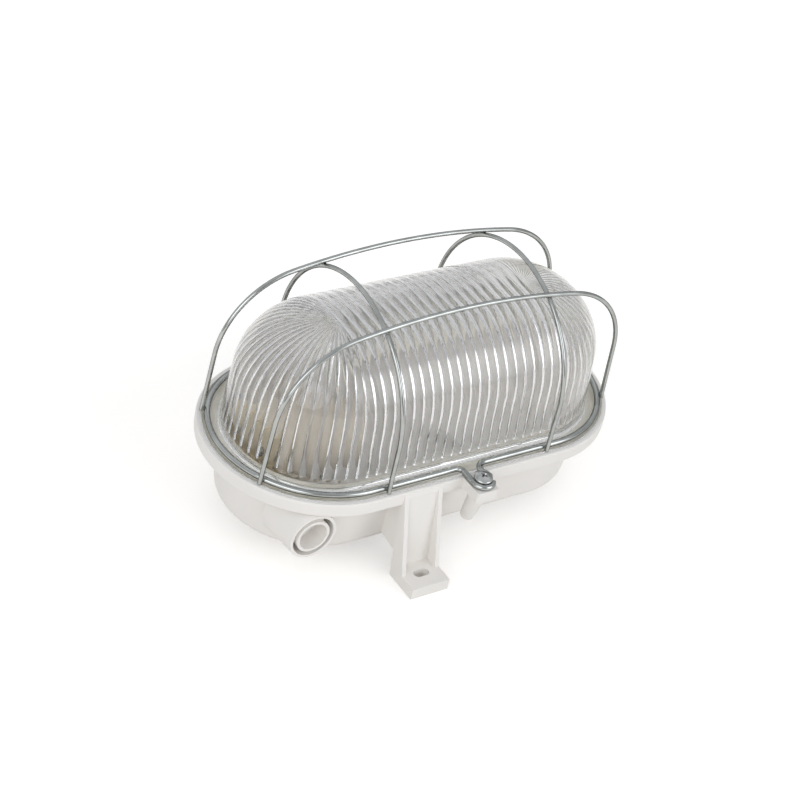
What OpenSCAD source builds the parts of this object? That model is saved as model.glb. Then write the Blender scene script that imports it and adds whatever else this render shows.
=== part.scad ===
// Oval bulkhead light: moulded base on two feet, ribbed glass cover and a hinged wire guard.
// X runs along the length, -Y is the front with the screw, +Z points away from the mounting plane.

/* [Oval outline] */
// Distance between the centres of the two round ends.
oval_straight = 120; // [60:1:200]
// Outer radius of the rim at the round ends.
rim_r = 65; // [45:0.5:90]
// Overhang of the rim beyond the body wall.
rim_overhang = 13.8; // [9:0.1:20]

/* [Base] */
// Height of the body's underside above the mounting plane.
stand_off = 10; // [4:0.5:20]
// Depth of the body from its underside to the rim.
body_h = 37; // [30:0.5:60]
// Height of the rim skirt.
rim_h = 8; // [7:0.5:14]
// Thickness of the upright lip around the glass.
lip_t = 2.6; // [1.5:0.1:4]
// Wall thickness of the body.
wall = 2.5; // [1.5:0.1:4]
// Draft of the body wall from rim to floor.
body_draft = 1.5; // [0.5:0.1:4]
// Rounding where wall and floor meet.
floor_round = 6; // [4:0.5:10]
// Rounding of the rim's outer edges.
rim_round = 0.9; // [0.3:0.1:2]

/* [Feet] */
// Distance of each foot from the middle, along the length.
foot_x = 31; // [20:0.5:50]
// Width of a foot and of its leg.
foot_w = 24; // [16:0.5:36]
// Reach of the foot beyond the rim.
foot_out = 24; // [20:0.5:40]
// Thickness of the foot pad.
foot_t = 6.8; // [4:0.1:9]
// Thickness of the leg's ribs and web.
rib_t = 2.5; // [1.5:0.1:4]
// Thickness of the webs between leg and body.
gusset_t = 2.2; // [1.5:0.1:4]
// Length of the slot in the foot.
slot_l = 9.4; // [7:0.1:14]
// Width of the slot in the foot.
slot_w = 5.4; // [3:0.1:6]
// Distance of the slots beyond the rim.
slot_out = 13.8; // [12:0.1:18]

/* [Cable entry] */
// Distance of the entry's axis beyond the centre of the round end.
entry_out = 31; // [20:0.5:36]
// Depth of the entry's axis below the rim.
entry_drop = 14; // [13:0.5:20]
// Outer radius at the mouth.
entry_r = 13.8; // [12.6:0.1:16]
// Widening of the stub towards the body.
entry_flare = 2.6; // [0.5:0.1:5]
// Outer radius of the inner sleeve.
sleeve_r = 9.8; // [7:0.1:10]
// Wall thickness of the inner sleeve.
sleeve_t = 1.6; // [1:0.1:3]
// Width of the ring slot around the sleeve.
slot_ring = 2.4; // [1:0.1:2.6]
// Depth of the sleeve down to its closed skin.
sleeve_depth = 10; // [5:0.5:11]
// Thickness of the closed skin.
skin_t = 1.5; // [0.8:0.1:3]

/* [Glass] */
// Clearance between the flange and the lip.
flange_gap = 0.2; // [0.2:0.1:1.5]
// Thickness of the glass flange.
flange_t = 4; // [2:0.1:4.5]
// Width of the glass flange outside the dome.
flange_w = 10.3; // [7:0.1:16]
// Height of the dome above the flange.
dome_h = 71.3; // [60:0.5:100]
// Radius of the dome's shoulder.
shoulder_r = 40.4; // [25:0.2:45]
// Lean of the dome's side in degrees.
dome_lean = 3.4; // [1:0.1:6]
// Wall thickness of the glass between ribs.
glass_t = 3.2; // [2:0.1:5]
// Depth of the ribs inside the glass.
rib_depth = 1.2; // [0.5:0.1:2.5]
// Number of hoop ribs along the middle.
hoop_ribs = 20; // [6:1:40]
// Number of radiating ribs at each round end.
end_ribs = 26; // [8:1:40]
// Clear band between flange and ribs.
rib_start = 3.6; // [2:0.1:12]
// Clear radius around the pole of each round end.
rib_pole = 22; // [18:0.5:32]

/* [Gasket] */
// Thickness of the gasket under the flange.
gasket_t = 1.8; // [1:0.1:2.2]
// Width of the gasket strip.
gasket_w = 6.5; // [3:0.1:8]

/* [Wire guard] */
// Distance of the ring wire's centre inside the flange edge.
ring_inset = 3.2; // [2:0.1:5]
// Thickness of the ring wire.
ring_d = 3.2; // [2:0.1:4]
// Thickness of the bow and hoop wires.
bow_d = 2.5; // [1.5:0.1:4]
// Clearance between the ring and the flange.
ring_gap = 0.3; // [0.1:0.1:1]
// Position of the two long bows across the length.
bow_y = 32; // [15:0.5:40]
// Height of the bows over the top of the dome.
bow_over = 17.1; // [10:0.5:40]
// Straight length of a bow's leg.
bow_leg = 37; // [20:0.5:50]
// Inward lean of a bow's leg in degrees.
bow_lean = 4; // [2:0.5:8]
// Half angle of a bow's crown in degrees.
bow_crown = 10.3; // [7:0.1:14]
// Distance of the two cross hoops from the round ends' centres.
hoop_inset = 8; // [2:0.5:30]

/* [Guard lock and hinge] */
// Position of the lock screw along the length.
lock_x = 1; // [-5:0.5:20]
// Distance of the lock screw beyond the rim.
lock_out = 7.4; // [6:0.2:12]
// Radius of the wire eye's centre line.
eye_r = 5.6; // [4.6:0.1:7]
// Sweep of the wire eye from the screw's left round its front, in degrees.
eye_sweep = 150; // [120:5:155]
// Bend radius of the ring wire.
bend_r = 3.4; // [2.5:0.1:4.5]
// Width of the lug under the eye.
lug_w = 13.6; // [12:0.2:20]
// Height of the lug.
lug_h = 6.5; // [4:0.1:10]
// Length of the tapered boss under the lug.
boss_l = 20; // [12:0.5:22]
// Backward lean of the boss in degrees.
boss_lean = 14; // [0:1:16]
// Radius of the lock screw's thread.
screw_r = 2.2; // [1.5:0.05:2.6]
// Length of the lock screw under its head.
screw_l = 16; // [10:0.5:18]
// Radius of the lock screw's head.
head_r = 5.1; // [4.5:0.1:6.5]
// Distance of the hinge bar beyond the rim.
hinge_out = 5.5; // [4.5:0.1:10]
// Half length of the hinge bar between its bends.
hinge_bar = 8; // [7.5:0.5:15]
// Width of the keeper claw.
claw_w = 13; // [8:0.5:14]
// Wall thickness of the keeper claw.
claw_t = 2.6; // [1.5:0.1:5]
// Running clearance around hinge bar and lock screw.
fit = 0.08; // [0.02:0.01:0.1]

/* [Lampholder] */
// Distance of the holder's back from the end of the body.
holder_end = 21.2; // [17:0.1:31]
// Outer radius of the porcelain body.
holder_r = 20; // [18:0.5:24]
// Length of the porcelain body.
holder_l = 38; // [30:0.5:50]
// Depth of the closed back of the porcelain body.
holder_back = 10; // [7:0.5:14]
// Inner radius of the screw shell.
shell_r = 13.3; // [8:0.1:14]
// Width of the steel bracket.
bracket_w = 32; // [28:0.5:40]
// Thickness of the steel bracket.
plate_t = 1.5; // [0.8:0.1:3]
// Height of the raised pad on the floor.
pad_h = 5.5; // [5:0.5:10]

/* [Terminals] */
// Length of the terminal block across its poles.
block_l = 20; // [17:0.5:30]
// Width of the terminal block along its sleeves.
block_w = 17; // [15:0.5:24]
// Height of the terminal block.
block_h = 11; // [9:0.5:16]
// Distance between the two poles.
pole_pitch = 9.4; // [9.2:0.1:11]
// Radius of an insulated lead.
lead_r = 1.2; // [0.8:0.1:1.4]
// Bend radius of the leads.
lead_bend = 8; // [4:0.5:9]

/* [Hidden] */
$fn = 96;
half = oval_straight / 2;
rim_bottom = stand_off + body_h;
rim_top = rim_bottom + rim_h;
body_r = rim_r - rim_overhang;
cavity_floor = stand_off + wall;
pad_z = cavity_floor + pad_h;
flange_z = rim_top + 0.1;
seat_z = flange_z - flange_t - gasket_t;
flange_r = rim_r - lip_t - flange_gap;
dome_r = flange_r - flange_w;
wire_r = ring_d / 2;
bow_r = bow_d / 2;
ring_r = flange_r - ring_inset;
ring_z = flange_z + ring_gap + wire_r;
lock_y = rim_r + lock_out;
screw_z = ring_z + wire_r + 0.02;
hinge_y = rim_r + hinge_out;
weld_gap = 0.01;
joint_gap = 0.1;
// Overlap that lets straight lines cross a round instead of just touching it.
blend = 0.04;
joint_ball = 0.02;
bow_base = ring_z - wire_r;
// Where the leg's back, web and ribs meet the foot.
leg_back = rim_r + 2.6;
leg_web = leg_back + rib_t;
leg_rib = rim_r + slot_out - 0.8;
foot_reach = rim_r + foot_out;
slot_y = rim_r + slot_out;
// Entry stub from the rim's edge to the body wall.
entry_x = -half - entry_out;
entry_z = rim_bottom - entry_drop;
entry_mouth = sqrt(rim_r * rim_r - entry_out * entry_out);
entry_len = entry_mouth - sqrt(body_r * body_r - entry_out * entry_out) + 9;
// Flat along the dome's top that lets side and shoulder meet without a kink.
dome_zc = flange_z + dome_h - shoulder_r;
dome_side = (shoulder_r + (dome_zc - flange_z) * sin(dome_lean)) / cos(dome_lean);
crown_w = dome_r - dome_side;
// Bow radii that meet the wanted half length and height.
bow_h = flange_z + dome_h + bow_over - ring_z;
weld_r = ring_r + wire_r + bow_r + weld_gap;
bow_half = half + sqrt(weld_r * weld_r - bow_y * bow_y) + wire_r * tan(bow_lean);
bow_dx = bow_half - bow_leg * sin(bow_lean);
bow_dz = bow_h + wire_r - bow_leg * cos(bow_lean);
bow_m1 = cos(bow_lean) - sin(bow_crown);
bow_m2 = cos(bow_crown) - sin(bow_lean);
bow_m3 = 1 - cos(bow_crown);
crown_r = (bow_dx * bow_m2 - bow_dz * bow_m1) / (sin(bow_crown) * bow_m2 - bow_m3 * bow_m1);
bend_bow = (bow_dx - crown_r * sin(bow_crown)) / bow_m1;
bow_turn = 90 - bow_lean - bow_crown;
// Hoops cross just under the bows and touch them.
hoop_x = half - hoop_inset;
hoop_r = weld_r;
cross_p = asin(hoop_x / crown_r);
cross_q = asin(bow_y / hoop_r);
cross_n = norm([sin(cross_p) * cos(cross_q), cos(cross_p) * sin(cross_q), cos(cross_p) * cos(cross_q)]);
cross_gap = (bow_d + weld_gap) * cross_n / (cos(cross_p) * cos(cross_q));
cross_z = ring_z + bow_h - crown_r * (1 - cos(cross_p)) - cross_gap;
hoop_leg = cross_z - hoop_r * cos(cross_q) - bow_base;
// Lampholder, bracket and terminal block stand on the pad.
holder_x = holder_end - half - body_r;
under_gap = 3;
holder_z = pad_z + block_h + under_gap + holder_r;
bracket_foot = 11;
bracket_screw_x = holder_x - 7;
bracket_screw_y = bracket_w * 9 / 32;
holder_screw_y = holder_r / 2;
block_x = holder_x + 14;
sleeve_bore = lead_r + 0.4;
sleeve_out = sleeve_bore + 1.2;
lead_y = holder_r + lead_bend;

// Sweeps a half profile (radius, height) round the oval as one solid.
module oval() {
  for (side = [0, 180])
    rotate([0, 0, side])
      translate([half, 0, 0])
        rotate([0, 0, -90])
          rotate_extrude(angle = 180)
            children();
  for (side = [0, 1])
    mirror([0, side, 0])
      translate([-half, 0, 0])
        rotate([90, 0, 90])
          linear_extrude(oval_straight)
            children();
}

// A round wire along a list of steps: [0, length] runs straight, [radius, angle] turns.
// Where ball is above 0, small balls close the joints between the steps.
module wire(steps, r, ball = 0, i = 0) {
  if (i < len(steps)) {
    turn = steps[i][0];
    amount = steps[i][1];
    side = amount < 0 ? -1 : 1;
    gap = ball > 0 ? joint_gap : 0;
    head = i == 0 ? 0 : gap;
    tail = i == len(steps) - 1 ? 0 : gap;
    if (i > 0 && ball > 0)
      sphere(r + ball);
    if (turn == 0) {
      translate([head, 0, 0])
        rotate([0, 90, 0])
          cylinder(h = amount - head - tail, r = r);
      translate([amount, 0, 0])
        wire(steps, r, ball, i + 1);
    } else {
      sweep = abs(amount) - (head + tail) / turn * 180 / PI;
      start = (side > 0 ? head : tail) / turn * 180 / PI;
      translate([0, side * turn, 0])
        rotate([0, 0, side > 0 ? start - 90 : 90 + amount + start])
          rotate_extrude(angle = sweep)
            translate([turn, 0])
              circle(r);
      translate([turn * sin(abs(amount)), side * turn * (1 - cos(amount)), 0])
        rotate([0, 0, amount])
          wire(steps, r, ball, i + 1);
    }
  }
}

// A pan head screw pointing down, its head resting on z = 0.
module pan_screw(r, l, head, head_h) {
  translate([0, 0, -l])
    cylinder(h = l + 0.01, r = r);
  difference() {
    rotate_extrude()
      intersection() {
        square([head, head_h]);
        translate([0, head_h - 2.4 * head])
          circle(2.4 * head);
      }
    for (turn = [0, 90])
      rotate([0, 0, turn])
        translate([-head * 0.5, -head * 0.1, head_h * 0.45])
          cube([head, head * 0.2, head_h]);
  }
}

// Body wall profile from the axis outwards, drawn in by the given thickness.
module tub_profile(inset, bottom, top, round) {
  lean = atan(body_draft / (rim_bottom - stand_off));
  edge = body_r - inset / cos(lean);
  edge_low = edge - (rim_bottom - bottom - round) * tan(lean);
  edge_top = edge + (top - rim_bottom) * tan(lean);
  centre = edge_low - round / cos(lean);
  polygon([
    [0, bottom],
    [centre, bottom],
    [centre + round * cos(lean), bottom + round - round * sin(lean)],
    [edge_top, top],
    [0, top]
  ]);
  translate([centre, bottom + round])
    circle(round);
}

// Rim section with softly rounded outer edges.
module rim_profile() {
  translate([body_r - wall, rim_bottom])
    square([rim_overhang + wall - rim_round, rim_h]);
  translate([body_r - wall, rim_bottom + rim_round])
    square([rim_overhang + wall, rim_h - 2 * rim_round]);
  for (z = [rim_bottom + rim_round, rim_top - rim_round])
    translate([rim_r - rim_round, z])
      circle(rim_round);
}

// One leg with its foot on the front side.
module leg() {
  top = rim_top - 1.6;
  difference() {
    translate([-foot_x - foot_w / 2, 0, 0])
      rotate([90, 0, 90])
        linear_extrude(foot_w)
          polygon([
            [-rim_r + 2, top],
            [-rim_r - 0.1, top],
            [-leg_rib, foot_t],
            [-foot_reach, foot_t],
            [-foot_reach, 0],
            [-leg_back, 0],
            [-rim_r + 2, rim_bottom]
          ]);
    translate([-foot_x - foot_w / 2 + rib_t, 0, 0])
      rotate([90, 0, 90])
        linear_extrude(foot_w - 2 * rib_t)
          polygon([
            [-rim_r - 0.2, top - 2],
            [-leg_web, foot_t],
            [-leg_rib - 1, foot_t],
            [-leg_rib - 1, top]
          ]);
    for (end = [-1, 1])
      translate([-foot_x + end * (slot_l - slot_w) / 2, -slot_y, -1])
        cylinder(h = foot_t + 2, d = slot_w);
    translate([-foot_x - (slot_l - slot_w) / 2, -slot_y - slot_w / 2, -1])
      cube([slot_l - slot_w, slot_w, foot_t + 2]);
  }
  for (side = [-foot_w / 2 + rib_t, foot_w / 2 - rib_t - gusset_t])
    translate([-foot_x + side, 0, 0])
      rotate([90, 0, 90])
        linear_extrude(gusset_t)
          polygon([
            [-body_r + 2.4, stand_off + 5],
            [-leg_back + 0.5, stand_off + 2.6],
            [-rim_r + 1.5, rim_bottom + 1],
            [-body_r + 1.2, rim_bottom + 1]
          ]);
}

// Lug with its tapered boss for the lock screw.
module lock_lug() {
  reach = lock_y + 7;
  difference() {
    translate([lock_x - lug_w / 2, -reach, rim_top - lug_h])
      cube([lug_w, reach - rim_r + 1.5, lug_h]);
    for (side = [-1, 1])
      translate([lock_x + side * lug_w / 2, -reach, rim_top - 10])
        rotate([0, 0, 45])
          cube([1.2, 1.2, 30], center = true);
  }
  translate([lock_x, -lock_y, rim_top - lug_h + 1])
    rotate([boss_lean, 0, 0])
      translate([0, 0, -boss_l - 1])
        cylinder(h = boss_l + 1, r1 = screw_r + 1.6, r2 = screw_r + 3.4);
}

// Claw behind the rim that holds the guard's hinge bar.
module hinge_claw() {
  top = ring_z + wire_r + claw_t;
  low = rim_top - lug_h;
  back = hinge_y + wire_r + claw_t;
  difference() {
    translate([-claw_w / 2, rim_r - 1.5, low])
      cube([claw_w, back - rim_r + 1.5, top - low]);
    translate([-claw_w, rim_r - 2, rim_top])
      cube([2 * claw_w, 4, 20]);
    translate([-claw_w, hinge_y, ring_z])
      rotate([0, 90, 0])
        cylinder(h = 2 * claw_w, r = wire_r + fit);
    translate([-claw_w, rim_r - 2, ring_z - wire_r - fit])
      cube([2 * claw_w, hinge_y - rim_r + 2, ring_d + 2 * fit]);
    translate([-claw_w, back, top])
      rotate([45, 0, 0])
        cube([4 * claw_w, 2, 2], center = true);
  }
}

// Conical stub of the cable entry, without its openings.
module entry_stub() {
  translate([entry_x, -entry_mouth, entry_z])
    rotate([-90, 0, 0])
      cylinder(h = entry_len, r1 = entry_r, r2 = entry_r + entry_flare);
}

// Openings of the cable entry: a blind sleeve and the ring slot around it.
module entry_openings() {
  translate([entry_x, -entry_mouth, entry_z])
    rotate([-90, 0, 0]) {
      translate([0, 0, -1])
        cylinder(h = sleeve_depth + 1, r = sleeve_r - sleeve_t);
      translate([0, 0, sleeve_depth + skin_t])
        cylinder(h = entry_len - sleeve_depth - 2 * skin_t, r = sleeve_r - sleeve_t);
      difference() {
        translate([0, 0, -1])
          cylinder(h = sleeve_depth + 2, r = sleeve_r + slot_ring);
        translate([0, 0, -2])
          cylinder(h = sleeve_depth + 4, r = sleeve_r);
        translate([0, 0, 2.4])
          rotate([0, 0, 168])
            rotate_extrude(angle = 138)
              translate([sleeve_r - 1, 0])
                square([slot_ring + 2, sleeve_depth]);
      }
    }
}

module base() {
  color([0.92, 0.91, 0.89])
    difference() {
      union() {
        difference() {
          union() {
            oval()
              tub_profile(0, stand_off, rim_bottom + 1, floor_round);
            oval()
              rim_profile();
            entry_stub();
          }
          oval()
            tub_profile(wall, cavity_floor, rim_top + 1, floor_round - wall);
          oval()
            translate([0, seat_z])
              square([rim_r - lip_t, rim_h + 2]);
        }
        for (turn = [0, 180])
          rotate([0, 0, turn])
            leg();
        lock_lug();
        hinge_claw();
        translate([holder_x - bracket_foot - 1, 1 - bracket_w / 2, cavity_floor - 1])
          cube([block_l + 18, bracket_w - 2, pad_h + 1]);
      }
      entry_openings();
      translate([lock_x, -lock_y, screw_z - screw_l - 0.5])
        cylinder(h = screw_l, r = screw_r + fit);
      for (y = [-bracket_screw_y, bracket_screw_y])
        translate([bracket_screw_x, y, stand_off + 1.5])
          cylinder(h = 20, r = 1.5);
      translate([block_x, 0, stand_off + 1.5])
        cylinder(h = 20, r = 1.5);
    }
}

module gasket() {
  color([0.84, 0.80, 0.72])
    oval()
      translate([rim_r - lip_t - 0.6 - gasket_w, seat_z])
        square([gasket_w, gasket_t]);
}

// Dome section across the length, drawn in from the outside by the given thickness.
module dome_section(inset, bottom) {
  r = shoulder_r - inset;
  foot = dome_r - inset / cos(dome_lean);
  side_x = crown_w + (r - blend) * cos(dome_lean);
  side_z = dome_zc + (r - blend) * sin(dome_lean);
  flat_z = dome_zc + r - blend;
  polygon([
    [-foot, bottom],
    [foot, bottom],
    [foot, flange_z],
    [side_x, side_z],
    [crown_w, flat_z],
    [-crown_w, flat_z],
    [-side_x, side_z],
    [-foot, flange_z]
  ]);
  for (side = [-1, 1])
    intersection() {
      translate([side * crown_w, dome_zc])
        circle(r);
      translate([side * (crown_w / 2 + r), dome_zc + r])
        square([2 * r, 2 * r], center = true);
    }
}

// Half of the dome section, for sweeping round the oval.
module dome_profile(inset, bottom) {
  intersection() {
    dome_section(inset, bottom);
    translate([0, bottom - 1])
      square([200, 300]);
  }
}

// Rib section: a band along the dome's inner face above the clear strip.
module rib_section(inner) {
  difference() {
    intersection() {
      dome_section(glass_t - 0.8, flange_z);
      translate([inner, flange_z + rib_start])
        square([200, 200]);
    }
    dome_section(glass_t + rib_depth, flange_z - 1);
  }
}

module glass() {
  pitch = oval_straight / hoop_ribs;
  step = 180 / end_ribs;
  color([0.78, 0.86, 0.83, 0.35]) {
    difference() {
      union() {
        oval()
          dome_profile(0, flange_z - 1);
        oval()
          translate([0, flange_z - flange_t])
            square([flange_r, flange_t]);
      }
      oval()
        dome_profile(glass_t, flange_z - flange_t - 1);
    }
    for (i = [0 : hoop_ribs - 1])
      translate([-half + (i + 0.25) * pitch, 0, 0])
        rotate([90, 0, 90])
          linear_extrude(pitch / 2)
            rib_section(-100);
    for (end = [0, 180], k = [0 : end_ribs - 1])
      rotate([0, 0, end])
        translate([half, 0, 0])
          rotate([90, 0, -90 + (k + 0.5) * step])
            translate([0, 0, -pitch / 5])
              linear_extrude(pitch / 2.5)
                rib_section(rib_pole);
  }
}

module guard_ring() {
  hinge_drop = hinge_y - ring_r - 2 * bend_r;
  rear = half - hinge_bar - 2 * bend_r;
  color([0.72, 0.73, 0.73]) {
    // Eye round the screw's left and front.
    translate([lock_x, -lock_y, ring_z])
      rotate([0, 0, 180])
        rotate_extrude(angle = eye_sweep)
          translate([eye_r, 0])
            circle(wire_r);
    translate([lock_x - eye_r, -lock_y, ring_z])
      rotate([0, 0, 90])
        wire([
          // From the eye to the left run and round the left end.
          [0, lock_y - ring_r - bend_r],
          [bend_r, 90],
          [0, half + lock_x - eye_r - bend_r],
          [ring_r, -180],
          // Rear run with the hinge bar in the middle.
          [0, rear],
          [bend_r, 90],
          [0, hinge_drop],
          [bend_r, -90],
          [0, 2 * hinge_bar],
          [bend_r, -90],
          [0, hinge_drop],
          [bend_r, 90],
          [0, rear],
          [ring_r, -180],
          // Right run, turned down beside the screw to close the eye.
          [0, half - lock_x - eye_r - bend_r],
          [bend_r, 90],
          [0, lock_y - ring_r - bend_r - 1]
        ], wire_r);
  }
}

// One long bow standing on the ring.
module bow() {
  translate([-bow_half, 0, bow_base])
    rotate([90, 0, 0])
      rotate([0, 0, 90 - bow_lean])
        wire([
          [0, bow_leg],
          [bend_bow, -bow_turn],
          [crown_r, -2 * bow_crown],
          [bend_bow, -bow_turn],
          [0, bow_leg]
        ], bow_r, joint_ball);
}

// One cross hoop standing on the ring.
module hoop() {
  translate([0, -hoop_r, bow_base])
    rotate([90, 0, 90])
      rotate([0, 0, 90])
        wire([
          [0, hoop_leg],
          [hoop_r, -180],
          [0, hoop_leg]
        ], bow_r);
}

module guard_bow_front() {
  color([0.74, 0.75, 0.75])
    translate([0, -bow_y, 0])
      bow();
}

module guard_bow_rear() {
  color([0.74, 0.75, 0.75])
    translate([0, bow_y, 0])
      bow();
}

module guard_hoop_left() {
  color([0.74, 0.75, 0.75])
    translate([-hoop_x, 0, 0])
      hoop();
}

module guard_hoop_right() {
  color([0.74, 0.75, 0.75])
    translate([hoop_x, 0, 0])
      hoop();
}

module guard_screw() {
  color([0.70, 0.71, 0.73])
    translate([lock_x, -lock_y, screw_z])
      pan_screw(screw_r, screw_l, head_r, 2.6);
}

module lampholder_body() {
  color([0.90, 0.87, 0.80])
    difference() {
      translate([holder_x, 0, holder_z])
        rotate([0, 90, 0])
          union() {
            cylinder(h = holder_l, r = holder_r - 1.5);
            cylinder(h = 14, r = holder_r);
            translate([0, 0, holder_l - 4])
              cylinder(h = 4, r = holder_r - 0.5);
          }
      translate([holder_x + holder_back, 0, holder_z])
        rotate([0, 90, 0])
          cylinder(h = holder_l, r = shell_r + 1.6);
      for (pole = [-1, 1])
        translate([block_x + pole * pole_pitch / 2, holder_r - 4.1, holder_z])
          rotate([-90, 0, 0])
            cylinder(h = 10, r = lead_r + 0.1);
      for (y = [-holder_screw_y, holder_screw_y])
        translate([holder_x - 1, y, holder_z])
          rotate([0, 90, 0])
            cylinder(h = 7, r = 1.6);
    }
}

module lampholder_shell() {
  color([0.78, 0.70, 0.45])
    translate([holder_x + holder_back, 0, holder_z])
      rotate([0, 90, 0])
        rotate_extrude()
          union() {
            translate([shell_r, 0])
              square([0.5, holder_l - holder_back - 2]);
            for (k = [0 : 5])
              translate([shell_r + 0.3, 4 + k * 3.6])
                circle(0.9, $fn = 24);
          }
}

module lampholder_contact() {
  color([0.80, 0.72, 0.42])
    translate([holder_x + holder_back, 0, holder_z])
      rotate([0, 90, 0]) {
        cylinder(h = 1.2, r = 5);
        cylinder(h = 3, r = 2.5);
      }
}

module lampholder_bracket() {
  color([0.68, 0.69, 0.70])
    difference() {
      union() {
        translate([holder_x - plate_t, -bracket_w / 2, pad_z])
          cube([plate_t, bracket_w, holder_z - pad_z + 0.7 * holder_r]);
        translate([holder_x - bracket_foot, -bracket_w * 7 / 16, pad_z])
          cube([bracket_foot, bracket_w * 7 / 8, plate_t]);
      }
      for (y = [-bracket_screw_y, bracket_screw_y])
        translate([bracket_screw_x, y, pad_z - 1])
          cylinder(h = plate_t + 2, r = 1.7);
      for (y = [-holder_screw_y, holder_screw_y])
        translate([holder_x - 2 * plate_t, y, holder_z])
          rotate([0, 90, 0])
            cylinder(h = 4 * plate_t, r = 1.7);
    }
}

module lampholder_screws() {
  color([0.72, 0.73, 0.74])
    for (y = [-holder_screw_y, holder_screw_y])
      translate([holder_x - plate_t, y, holder_z])
        rotate([0, -90, 0])
          pan_screw(1.5, plate_t + 5, 3, 2);
}

module bracket_screws() {
  color([0.72, 0.73, 0.74])
    for (y = [-bracket_screw_y, bracket_screw_y])
      translate([bracket_screw_x, y, pad_z + plate_t])
        pan_screw(1.4, plate_t + 5.5, 2.9, 2);
}

module terminal_block() {
  color([0.93, 0.93, 0.91])
    translate([block_x, 0, pad_z])
      difference() {
        translate([-block_l / 2, -block_w / 2, 0])
          cube([block_l, block_w, block_h]);
        for (pole = [-1, 1])
          translate([pole * pole_pitch / 2, 0, block_h / 2]) {
            rotate([90, 0, 0])
              cylinder(h = block_w + 2, r = sleeve_out, center = true);
            for (y = [-4.5, 4.5])
              translate([0, y, 0])
                cylinder(h = block_h, r = 1.8);
          }
        translate([0, 0, -1])
          cylinder(h = block_h + 2, r = 1.6);
      }
}

module terminal_sleeves() {
  color([0.80, 0.70, 0.38])
    for (pole = [-1, 1])
      translate([block_x + pole * pole_pitch / 2, 0, pad_z + block_h / 2])
        difference() {
          rotate([90, 0, 0])
            cylinder(h = block_w - 3, r = sleeve_out, center = true);
          rotate([90, 0, 0])
            cylinder(h = block_w, r = sleeve_bore, center = true);
          for (y = [-4.5, 4.5])
            translate([0, y, 0])
              cylinder(h = 5, r = 1.25);
        }
}

module terminal_screws() {
  color([0.72, 0.73, 0.74])
    for (pole = [-1, 1], y = [-4.5, 4.5])
      translate([block_x + pole * pole_pitch / 2, y, pad_z + block_h / 2 + lead_r]) {
        cylinder(h = 3.4, r = 1.2);
        difference() {
          translate([0, 0, 2.2])
            cylinder(h = 1.6, r = 1.6);
          translate([-2, -0.3, 3])
            cube([4, 0.6, 2]);
        }
      }
}

module block_screw() {
  color([0.72, 0.73, 0.74])
    translate([block_x, 0, pad_z + block_h])
      pan_screw(1.4, block_h + pad_h - 0.5, 2.4, 1.8);
}

// One insulated lead from the block's rear face round into the holder's side.
module lead() {
  low = pad_z + block_h / 2;
  start = 2;
  translate([block_x, start, low])
    rotate([90, 0, 90])
      wire([
        [0, lead_y - lead_bend - start],
        [lead_bend, 90],
        [0, holder_z - low - 2 * lead_bend],
        [lead_bend, 90],
        [0, lead_y - lead_bend - holder_r + 4]
      ], lead_r);
}

module live_lead() {
  color([0.45, 0.30, 0.20])
    translate([-pole_pitch / 2, 0, 0])
      lead();
}

module neutral_lead() {
  color([0.25, 0.42, 0.65])
    translate([pole_pitch / 2, 0, 0])
      lead();
}

base();
gasket();
glass();
guard_ring();
guard_bow_front();
guard_bow_rear();
guard_hoop_left();
guard_hoop_right();
guard_screw();
lampholder_body();
lampholder_shell();
lampholder_contact();
lampholder_bracket();
lampholder_screws();
bracket_screws();
terminal_block();
terminal_sleeves();
terminal_screws();
block_screw();
live_lead();
neutral_lead();
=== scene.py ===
"""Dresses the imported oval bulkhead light: moulded base, ribbed glass cover and hinged wire guard.

Every length is in metres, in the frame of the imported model: X along the oval, -Y towards the
lock screw, Z away from the mounting plane. Sizes that repeat the solids are given in millimetres.
"""

import math

import bmesh
import bpy
import numpy as np
from mathutils import Matrix, Vector


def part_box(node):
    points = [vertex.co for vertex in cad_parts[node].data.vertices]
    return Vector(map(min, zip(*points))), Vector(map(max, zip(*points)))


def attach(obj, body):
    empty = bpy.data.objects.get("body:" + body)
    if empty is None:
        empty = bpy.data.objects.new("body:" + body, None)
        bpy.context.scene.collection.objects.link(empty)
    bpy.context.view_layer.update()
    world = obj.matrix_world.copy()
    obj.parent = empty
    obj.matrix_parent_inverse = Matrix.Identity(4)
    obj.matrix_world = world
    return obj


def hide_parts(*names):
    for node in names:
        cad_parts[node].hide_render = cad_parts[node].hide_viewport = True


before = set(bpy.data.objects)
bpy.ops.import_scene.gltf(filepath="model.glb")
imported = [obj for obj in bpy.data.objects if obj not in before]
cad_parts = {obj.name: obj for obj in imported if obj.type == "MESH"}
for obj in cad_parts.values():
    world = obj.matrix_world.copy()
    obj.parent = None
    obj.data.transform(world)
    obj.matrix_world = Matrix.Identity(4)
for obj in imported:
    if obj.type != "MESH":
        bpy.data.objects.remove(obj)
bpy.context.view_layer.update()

MM = 0.001
SCENE = bpy.context.scene

# Sizes in millimetres and rib counts of the solids that the scene's pieces stand for.
HALF = 60.0
FLANGE_R = 62.2
FLANGE_TOP = 55.1
DOME_R = 51.9
DOME_LEAN = math.radians(3.4)
DOME_TOP = 126.4
SHOULDER_R = 40.4
GLASS_T = 3.2
HOOP_RIBS = 20
END_RIBS = 26
RING_R = 59.0
RING_Z = 57.0
WIRE_R = 1.6
BOW_R = 1.25
BOW_Y = 32.0
HOOP_X = 52.0
WELD_GAP = 0.01
LOCK = Vector((1.0, -72.4, 0.0))
EYE_R = 5.6
BEND_R = 3.4
HINGE_Y = 70.5
HINGE_BAR = 8.0
HEAD_R = 5.1
HEAD_H = 2.6
SCREW_LENGTH = 16
SHANK_R = 1.95

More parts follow.
